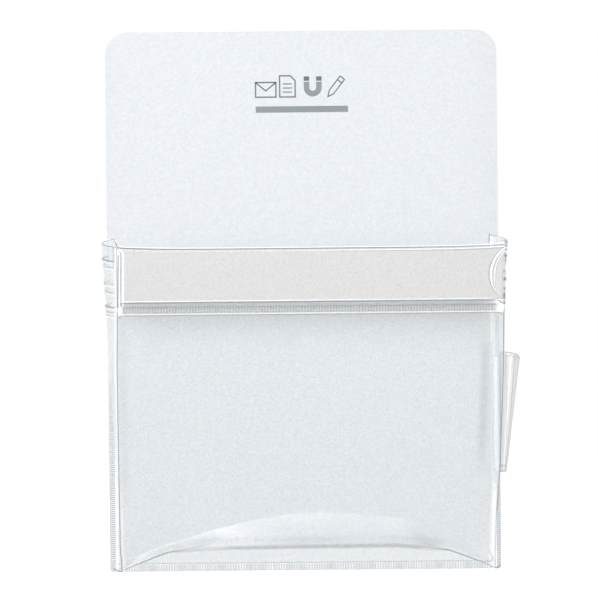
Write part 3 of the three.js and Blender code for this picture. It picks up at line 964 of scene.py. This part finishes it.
# What differs between the gussets. Wrinkles go from the mouth down: rise, slant across the depth, width
# and height of the ridge, how dark its crease shows in painted shade, and how dark its spot of painted
# shade at the outermost bulge is.
# The curl is the film's turned edge over the bottom corner, and the seam is a stretch of its weld line.
gussets = {
    "left": {
        "mouthBulge": 0.0082,
        "curl": [(-0.1158, 0.0385), (-0.1152, 0.0366), (-0.1137, 0.0338)],
        "curlRadius": 0.00045,
        "seam": (0.174, 0.181),
        "seamPoints": 12,
        "wrinkles": [
            (0.1822, 0.0012, 0.0010, 0.0007, 0.95, 0.5),
            (0.1786, 0.001, 0.0012, 0.0004, 0.35, 0.1),
            (0.1688, 0.001, 0.0013, 0.0005, 0.30, 0.9),
            (0.1646, -0.001, 0.0012, 0.0004, 0.40, 0.5),
            (0.1554, 0.001, 0.0011, 0.0006, 0.80, 0.4),
            (0.1530, -0.001, 0.0010, 0.0004, 0.30, 0.2),
            (0.1506, 0.001, 0.0012, 0.0004, 0.25, 0.2),
        ],
    },
    "right": {
        "mouthBulge": 0.0028,
        "curl": [(0.1143, 0.0402), (0.1141, 0.037), (0.1141, 0.033)],
        "curlRadius": 0.0003,
        "seam": (0.064, 0.134),
        "seamPoints": 40,
        "wrinkles": [
            (0.1895, 0.002, 0.0010, 0.0005, 0.40, 1.0),
            (0.1860, -0.002, 0.0012, 0.0006, 0.30, 1.0),
            (0.1825, 0.001, 0.0014, 0.0006, 0.20, 0.7),
            (0.1734, -0.002, 0.0012, 0.0005, 0.20, 0.7),
            (0.1685, 0.002, 0.0014, 0.0006, 0.25, 1.0),
            (0.1630, 0.001, 0.0014, 0.0006, 0.20, 0.6),
        ],
    },
}


# The gusset's lines, rods of painted shade: the rim along its mouth, thicker near the crest, the film's
# turned edge over the bottom corner and the stretch of seam. All but the rim are thinner at their ends,
# by a sine.
def gussetLines(side, fold, mouth, across, rootX):
    rimRadius = 0.00024 + 0.00012 * bump(across, 0.8, 0.1)
    rim = rod(mouth, rimRadius, (side, 0, 0), shade=0.95 - 0.5 * bump(across, 0.35, 0.15))
    curl = bentLine(fold["curl"], 20)
    curlRadius = fold["curlRadius"] * np.sin(np.pi * np.linspace(0.15, 0.85, 20))
    seamUp = np.linspace(*fold["seam"], fold["seamPoints"])
    seamRadius = 0.00026 * np.sin(np.pi * np.linspace(0.1, 0.9, fold["seamPoints"])) ** 0.5
    seam = rod(onBacking(side * rootX, 0.0012, hinge[2] + seamUp), seamRadius, shade=0.3)
    return [rim, rod(onBacking(curl[:, 0], 0.0011, curl[:, 1]), curlRadius, shade=1.3), seam]


# A gusset is the film from a side weld to the front film's edge. Across the depth it bulges outwards
# by a sine with its crest nearer the front, and the bulge grows from the foot to the mouth.
def gusset(side):
    name = "right" if side > 0 else "left"
    fold = {
        "lowest": 0.0025,
        "rootInset": 0.0004,
        "rootDepth": 0.0004,
        "footBulge": 0.0024,
        "bulgeStart": 0.05,
        "crest": 0.7,  # from the weld to the front
        "backRise": 0.0086,  # mouth's rear end over its front end
        "lip": 0.0012,
        **gussets[name],
    }
    mouthRise = pocket["mouthRise"]
    across = closerAtEnds(46, 0.3)[None, :]
    up = np.linspace(0, 1, 420)[:, None]
    rise = fold["lowest"] + up * (mouthRise - fold["lowest"])
    rootX = backingHalf - pocket["sideWeld"] + fold["rootInset"]
    edgeX = filmHalf + side * hinge[0] + 0.0003 + edgeBow(side, rise)
    growth = np.maximum(0, (rise - fold["bulgeStart"]) / (mouthRise - fold["bulgeStart"]))
    bulge = fold["footBulge"] * rise / mouthRise + (fold["mouthBulge"] - fold["footBulge"]) * growth
    power = math.log(0.5) / math.log(fold["crest"])
    x = rootX + (edgeX - rootX) * across + bulge * np.sin(np.pi * across**power)
    frontDepth = pocket["footDepth"] + rise * slope + 0.0002
    depth = fold["rootDepth"] + (frontDepth - fold["rootDepth"]) * across
    height = rise + fold["backRise"] * up * (1 - across)
    height = height + fold["lip"] * np.sin(np.pi * across) * ease(rise, mouthRise - 0.03, mouthRise)
    # Painted shade: weak along the outermost bulge in its upper part, where the film is seen edge on, and on
    # the left gusset only a weak grey over all of it and a dark line near its front edge by the mouth.
    # Painted highlight along its front fold.
    silhouette = bump(across, fold["crest"], 0.06)
    shown = ease(across, 0.3, 0.6) * (1 - ease(across, 0.965, 0.985))
    frontLine = 0.05 + 0.7 * bump(across, 0.972, 0.007) * ease(rise, 0.178, 0.182)
    shade = (side < 0) * frontLine + 0.08 * silhouette * ease(rise, 0.12, 0.15)
    milkAndHighlight = 0.5 * bump(across, 0.98, 0.02)
    # Each wrinkle: a ridge, a crease line of painted shade, a spot of painted shade where it meets the
    # outermost bulge and a line of painted highlight just under the crease.
    for centre, slant, width, ridgeHeight, dark, spot in fold["wrinkles"]:
        fromCrease = rise - centre - slant * (across - 0.6)
        ridge = ridgeHeight * bump(fromCrease, 0, width) * np.sin(np.pi * across) ** 0.5
        x = x + ridge * (0.6 + 0.4 * np.sin(across * 9 + centre * 900))
        shade = shade + 1.25 * dark * bump(fromCrease, 0, 0.00036) * shown
        shade = shade + 1.3 * spot * bump(fromCrease, 0, 0.0007) * silhouette
        milkAndHighlight = milkAndHighlight + 0.5 * bump(fromCrease, -0.0011, 0.0005) * shown
    middle = onBacking(side * x, depth, hinge[2] + height)
    normal = np.cross(np.gradient(middle, axis=1), np.gradient(middle, axis=0))
    normal *= pocket["filmThickness"] / 2 / np.linalg.norm(normal, axis=2, keepdims=True)
    shade = np.clip(shade, 0, 1.3)
    sheet = closedSheet(middle + normal, middle - normal, shade=shade, milkAndHighlight=np.clip(milkAndHighlight, 0, 1))
    lines = gussetLines(side, fold, middle[-1], across[0], rootX)
    piece = makePiece(name + "_gusset_film", [sheet, *lines], [sideFilm])
    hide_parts(name + "_gusset")
    asClearFilm(piece)
    bendWithFront(piece)


# The pen loop beside the backing's right edge. Its top rim is lower in front and outside.
loop = {
    "top": 0.1333,
    "length": 0.0733,
    "rimDrop": 0.0024,
    "rimSlant": 0.0012,
    "topReach": 0.0103,
    "topDepth": 0.0118,
    "bottomReach": 0.0023,
    "bottomDepth": 0.006,
    "overWeld": 0.0016,
    "thickness": 0.0003,
    "gap": 0.0007,
    # From and to which turn, radius and shade.
    "creases": [(0.28, 0.28, 0.00026, 0.65), (1.0, 1.33, 0.00024, 0.55), (1.3, 2.3, 0.0002, 0.4)],
    "knobTurn": 1.15,
    "knobRadius": 0.0014,
    "tab": (0.1158, 0.1205),
    "tabRear": 0.0006,
    "tabFront": 0.00085,
}
loopFoot = backingBottom + loop["top"] - loop["length"]


# A place on the loop's tube: an ellipse round the pen, which grows in both directions on its way up.
def onTube(turn, up, inset):
    reach = loop["bottomReach"] + (loop["topReach"] - loop["bottomReach"]) * up
    deep = (loop["bottomDepth"] + (loop["topDepth"] - loop["bottomDepth"]) * up) / 2
    wide = (reach + loop["overWeld"]) / 2
    x = backingHalf + (reach - loop["overWeld"]) / 2 + (wide - inset) * np.cos(turn)
    depth = loop["gap"] + deep + (deep - inset) * np.sin(turn)
    drop = loop["rimDrop"] * up * (depth - loop["gap"]) / loop["topDepth"]
    slant = loop["rimSlant"] * up**4 * (x - backingHalf) / loop["topReach"]
    return onBacking(x, depth, loopFoot + up * loop["length"] - drop - slant)


# The loop's flat tab on the right weld band, with a low ridge along it. Painted shade lies along the ridge
# and in a dark line at its inner edge, and its inner part is milky white with painted highlight.
def loopTab():
    up = np.linspace(0, loop["length"] - loop["rimDrop"], 60)[:, None]
    x = np.linspace(*loop["tab"], 24)[None, :]
    ridge = bump(x, 0.1192, 0.0007) * ease(up, 0.012, 0.02)
    front = onBacking(x, loop["tabFront"] + 0.0001 * ridge, loopFoot + up)
    back = onBacking(x, loop["tabRear"], loopFoot + up)
    shade = 0.3 * ridge + 0.9 * bump(x, 0.1159, 0.00025)
    return weldedSheet(front, back, shade, 0.9 * (1 - ease(x, 0.1182, 0.1188)))


# Pen loop: a film tube that narrows downwards, with hemmed rims, creases down its front, a small round
# mark at its top, and its tab. Rims, creases and mark are rods of painted shade, and the tube's film
# carries painted shade and a painted highlight.
def penLoop():
    up = np.linspace(0, 1, 90)[:, None]
    turn = np.linspace(0, 2 * np.pi, 72, endpoint=False)[None, :]
    # Painted shade: darker at both hems, a grey over the whole tube, two bands where its front wall turns
    # away and a line near its foot; a painted highlight down its front.
    hem = 1 + ease(up, 0.985, 0.995) - ease(up, 0.008, 0.02)
    paintedTubeShade = 0.15 + 0.18 * bump(turn, 0.75, 0.3) + 0.18 * bump(turn, 2.2, 0.25)
    shade = 0.3 * hem + paintedTubeShade + 0.3 * bump(up, 0.047, 0.01)
    outer = onTube(turn, up, 0)
    inner = onTube(turn, up, loop["thickness"])
    surfaces = [closedSheet(outer, inner, wrap=True, shade=shade, milkAndHighlight=0.3 * bump(turn, 1.7, 0.2))]
    middle = (outer + inner) / 2
    front = np.clip(np.sin(turn[0]), 0, 1)
    rimRadius = 0.00026 - 0.00008 * front
    surfaces.append(rod(middle[-1], rimRadius, (0, 0, 1), shade=0.7 - 0.3 * front, closed=True))
    surfaces.append(rod(middle[0], 0.00022, (0, 0, 1), shade=0.6, closed=True))
    along = np.linspace(0.01, 0.985, 60)
    for start, end, thick, dark in loop["creases"]:
        surfaces.append(rod(onTube(start + (end - start) * along, along, 0.00005), thick, shade=dark))
    around = np.linspace(0, 2 * np.pi, 28, endpoint=False)
    ring = np.stack([np.cos(around), 0 * around - 0.15, np.sin(around)], axis=-1)
    knob = onTube(np.array(loop["knobTurn"]), np.array(0.99), 0) + loop["knobRadius"] * ring
    surfaces.append(rod(knob, 0.00022, shade=0.5, closed=True))
    surfaces.append(loopTab())
    piece = makePiece("pen_loop_film", surfaces, [loopFilm, whitePvc])
    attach(piece, "backing")
    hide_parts("pen_loop")
    asClearFilm(piece)


# A thin layer of ink over a grid of places (across, up) on the backing's front.
def inkSheet(places):
    layer = {"height": 0.00006, "sunk": 0.00005}
    x, z = places[..., 0], places[..., 1]
    return closedSheet(onBacking(x, layer["height"], z), onBacking(x, -layer["sunk"], z))


# A printed line: a thin strip of ink along a path in the sheet's plane, with square mitred corners.
def inkStroke(path, width, closed=False):
    if closed:
        before = path - np.roll(path, 1, axis=0)
        after = np.roll(path, -1, axis=0) - path
    else:
        before = np.diff(path, axis=0, prepend=path[:1] * 2 - path[1:2])
        after = np.diff(path, axis=0, append=path[-1:] * 2 - path[-2:-1])
    aside = []
    for way in (before, after):
        way = way / np.linalg.norm(way, axis=1, keepdims=True)
        aside.append(np.stack([-way[:, 1], way[:, 0]], axis=-1))
    mitre = aside[0] + aside[1]
    mitre /= np.sum(mitre * aside[1], axis=1, keepdims=True)
    if closed:
        path = np.concatenate([path, path[:1]])
        mitre = np.concatenate([mitre, mitre[:1]])
    return inkSheet(np.stack([path - mitre * width / 2, path + mitre * width / 2], axis=1))


# Plain office marks in a row over a bar: an envelope, a ruled sheet, a magnet and a pencil. The points
# of a stroke lie to the right of its mark's foot and above it, where above is the way the mark leans.
def printMarks():
    row = {"left": -0.028, "right": 0.0286, "foot": 0.1251, "step": 0.0148, "bar": (0.1156, 0.1194)}
    line = 0.0008
    ruled = 0.8 * line
    fine = 0.9 * line
    limb = 0.0034
    upright = (0, 1)
    slanting = (0.0076, 0.0098)
    turn = np.linspace(np.pi, 2 * np.pi, 25)
    bend = np.stack([0.0055 + 0.0038 * np.cos(turn), 0.0057 + 0.0038 * np.sin(turn)], axis=-1)
    pencil = [(0, 0), (0.0017, 0.0035), (0.0017, 0.0145), (-0.0017, 0.0145), (-0.0017, 0.0035)]
    # Place in the row, way it leans, width, closed or not, and points. The last one is filled.
    marks = [
        (0, upright, line, True, [(0, 0), (0.0125, 0), (0.0125, 0.009), (0, 0.009)]),
        (0, upright, line, False, [(0, 0.009), (0.00625, 0.0038), (0.0125, 0.009)]),
        (1, upright, line, True, [(0, 0), (0.0095, 0), (0.0095, 0.010), (0.0065, 0.013), (0, 0.013)]),
        (1, upright, ruled, False, [(0.002, 0.003), (0.0075, 0.003)]),
        (1, upright, ruled, False, [(0.002, 0.0055), (0.0075, 0.0055)]),
        (1, upright, ruled, False, [(0.002, 0.008), (0.0075, 0.008)]),
        (2, upright, limb, False, [(0.0017, 0.0098), (0.0017, 0.0125)]),
        (2, upright, limb, False, [(0.0093, 0.0098), (0.0093, 0.0125)]),
        (3, slanting, fine, True, pencil),
        (3, slanting, fine, False, [(0.0017, 0.0118), (-0.0017, 0.0118)]),
        (2, upright, limb, False, [(0.0017, 0.0092), *bend, (0.0093, 0.0092)]),
    ]
    surfaces = []
    for place, way, width, closed, points in marks:
        above = np.array(way) / math.hypot(*way)
        axes = np.array([(above[1], -above[0]), above])
        foot = (row["left"] + place * row["step"], row["foot"])
        surfaces.append(inkStroke(np.array(points) @ axes + foot, width, closed))
    bar = [[(row["left"], level), (row["right"], level)] for level in row["bar"]]
    surfaces.append(inkSheet(np.array(bar)))
    for filled in surfaces[-2:]:
        filled["finish"] = 1
    piece = makePiece("printed_office_marks", surfaces, [inkLine, inkFill], smooth=False)
    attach(piece, "backing")


# Camera at the photograph's viewing angle: square on, framed by its shift, with a slight roll.
def setCamera():
    view = {"place": (-0.07635, -0.6888, -0.03857), "roll": 0.555, "lens": 67.38, "shift": (0.20, 0.11)}
    data = bpy.data.cameras.new("camera")
    data.sensor_width = 36
    data.lens = view["lens"]
    data.shift_x, data.shift_y = view["shift"]
    data.dof.use_dof = False
    camera = bpy.data.objects.new("camera", data)
    camera.location = view["place"]
    camera.rotation_euler = (math.radians(90), math.radians(view["roll"]), 0)
    bpy.context.scene.collection.objects.link(camera)
    bpy.context.scene.camera = camera


# 1 for what the camera sees, itself or by mirrors and glass, and 0 for light that falls on things.
def seenShare(tree):
    rays = tree.nodes.new("ShaderNodeLightPath")
    mirrored = mathNode(tree, "MAXIMUM", rays.outputs["Is Glossy Ray"], rays.outputs["Is Transmission Ray"])
    return mathNode(tree, "MAXIMUM", rays.outputs["Is Camera Ray"], mirrored)


# One share of the background's light falls on the object; cameras, mirrors and glass see it white.
def setWorld():
    room = {"lit": 0.40, "seen": 1.0}
    world = bpy.data.worlds.new("white_room")
    bpy.context.scene.world = world
    world.use_nodes = True
    tree = world.node_tree
    tree.nodes.clear()
    lit = addNode(tree, "ShaderNodeBackground", Color=(1, 1, 1, 1), Strength=room["lit"])
    seen = addNode(tree, "ShaderNodeBackground", Color=(1, 1, 1, 1), Strength=room["seen"])
    output = tree.nodes.new("ShaderNodeOutputWorld")
    mixed = mixShader(tree, seenShare(tree), lit.outputs[0], seen.outputs[0])
    tree.links.new(mixed, output.inputs[0])


# Round soft lamps that look at the middle of the object: place, size and power.
def addLamps():
    lamps = {
        "soft_window": ((-0.6, -2.8, 1.8), 3.0, 40),
        "front_fill": ((0.15, -2.9, 0.6), 2.0, 16),
        "rear_fill": ((0.4, 1.7, 0.9), 1.6, 11),
    }
    for name, (place, size, power) in lamps.items():
        data = bpy.data.lights.new(name, "AREA")
        data.shape = "DISK"
        data.size = size
        data.energy = power
        lamp = bpy.data.objects.new(name, data)
        lamp.location = place
        aim = -np.array(place)
        pitch = math.acos(-aim[2] / np.linalg.norm(aim))
        lamp.rotation_euler = (pitch, 0, math.atan2(aim[1], aim[0]) - math.pi / 2)
        bpy.context.scene.collection.objects.link(lamp)


# Pale floor well below the object, white where no shadow falls.
def addFloor():
    floor = {"level": -0.46, "half": 4.0, "colour": (0.9, 0.9, 0.9, 1), "glow": 0.7}
    half = floor["half"]
    corners = ((-half, -half), (half, -half), (half, half), (-half, half))
    points = [(x, y, floor["level"]) for x, y in corners]
    mesh = bpy.data.meshes.new("floor")
    mesh.from_pydata(points, [], [(0, 1, 2, 3)])
    material, tree, output = newMaterial("pale_floor")
    matt = addNode(tree, "ShaderNodeBsdfDiffuse", Color=floor["colour"])
    glow = addNode(tree, "ShaderNodeEmission", Color=(1, 1, 1, 1))
    tree.links.new(mathNode(tree, "MULTIPLY", seenShare(tree), floor["glow"]), glow.inputs["Strength"])
    both = tree.nodes.new("ShaderNodeAddShader")
    feed(tree, both, matt.outputs[0], glow.outputs[0])
    tree.links.new(both.outputs[0], output.inputs[0])
    mesh.materials.append(material)
    piece = bpy.data.objects.new("floor", mesh)
    bpy.context.scene.collection.objects.link(piece)


print("camera, lights and floor")
bpy.context.scene.view_settings.view_transform = "Standard"
setCamera()
setWorld()
addLamps()
addFloor()
print("backing, magnets and print")
backingSheet()
magnetStrips()
printMarks()
print("weld bands")
sideWeld(-1)
sideWeld(1)
bottomWeld()
print("pocket film")
frontFilm()
gusset(-1)
gusset(1)
print("label sleeve and card")
labelSleeve()
sleeveWeld()
labelCard()
print("pen loop")
penLoop()
